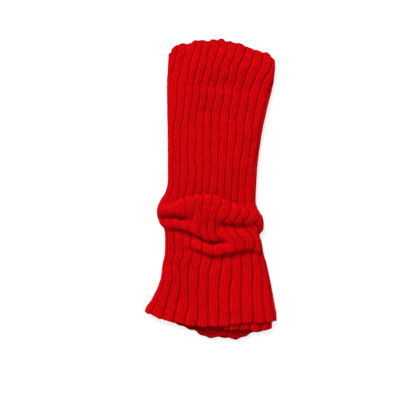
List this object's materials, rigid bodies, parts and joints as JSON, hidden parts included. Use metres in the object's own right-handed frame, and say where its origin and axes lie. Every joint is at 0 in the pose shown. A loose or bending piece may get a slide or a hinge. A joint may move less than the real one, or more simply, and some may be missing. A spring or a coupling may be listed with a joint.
{
  "type": "pair of leg warmers",
  "caption": "Pair of chunky ribbed knit leg warmers laid flat, one tube inside the other, slouched into folds at the ankle.",
  "frame": {"origin": "on the surface that the pair lies on, under the middle of its bounding box", "axes": "+X across the leg towards the viewer's right, +Y up the leg from the ankle hem to the knee hem, +Z away from the surface"},
  "size_m": [0.1512, 0.343, 0.0285],
  "materials": {
    "outer_knit": "matt chunky rib knit in red yarn with a slight nap",
    "inner_knit": "matt chunky rib knit in red yarn with a slight nap"
  },
  "bodies": {
    "root": {"leg_warmer_outer": "outer_knit", "leg_warmer_inner": "inner_knit"}
  },
  "joints": []
}
